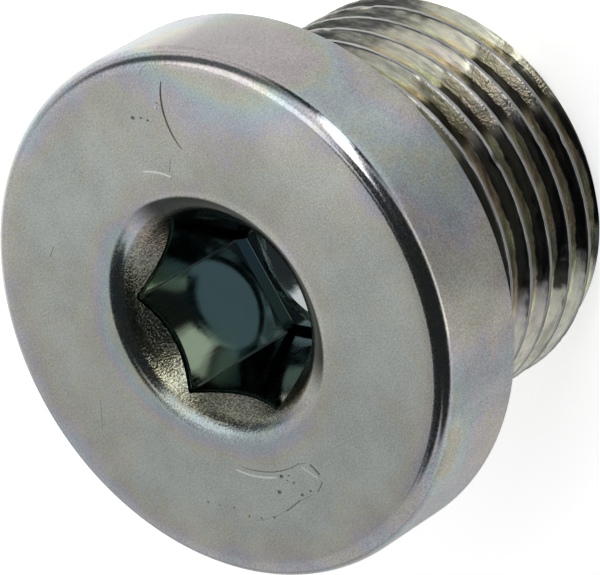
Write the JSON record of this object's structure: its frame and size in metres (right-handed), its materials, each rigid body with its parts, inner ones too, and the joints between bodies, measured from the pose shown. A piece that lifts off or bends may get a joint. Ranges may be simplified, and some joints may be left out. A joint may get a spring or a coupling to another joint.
{
  "type": "hex socket screw plug",
  "caption": "Round-headed screw plug with a hexagon key socket in its face, a flat sealing face behind the head, a relief neck and a metric fine thread.",
  "frame": {"origin": "centre of the sealing face, on the axis where the shank enters the tapped port", "axes": "+Z along the plug's axis, out of the head towards the key; two corners of the hexagon socket lie on X"},
  "size_m": [0.024, 0.024, 0.017],
  "materials": {
    "zinc_plated_steel": "blue-passivated zinc plating, satin on the head and darker in the thread and socket"
  },
  "bodies": {
    "root": {"plug_body": "zinc_plated_steel"}
  },
  "joints": []
}
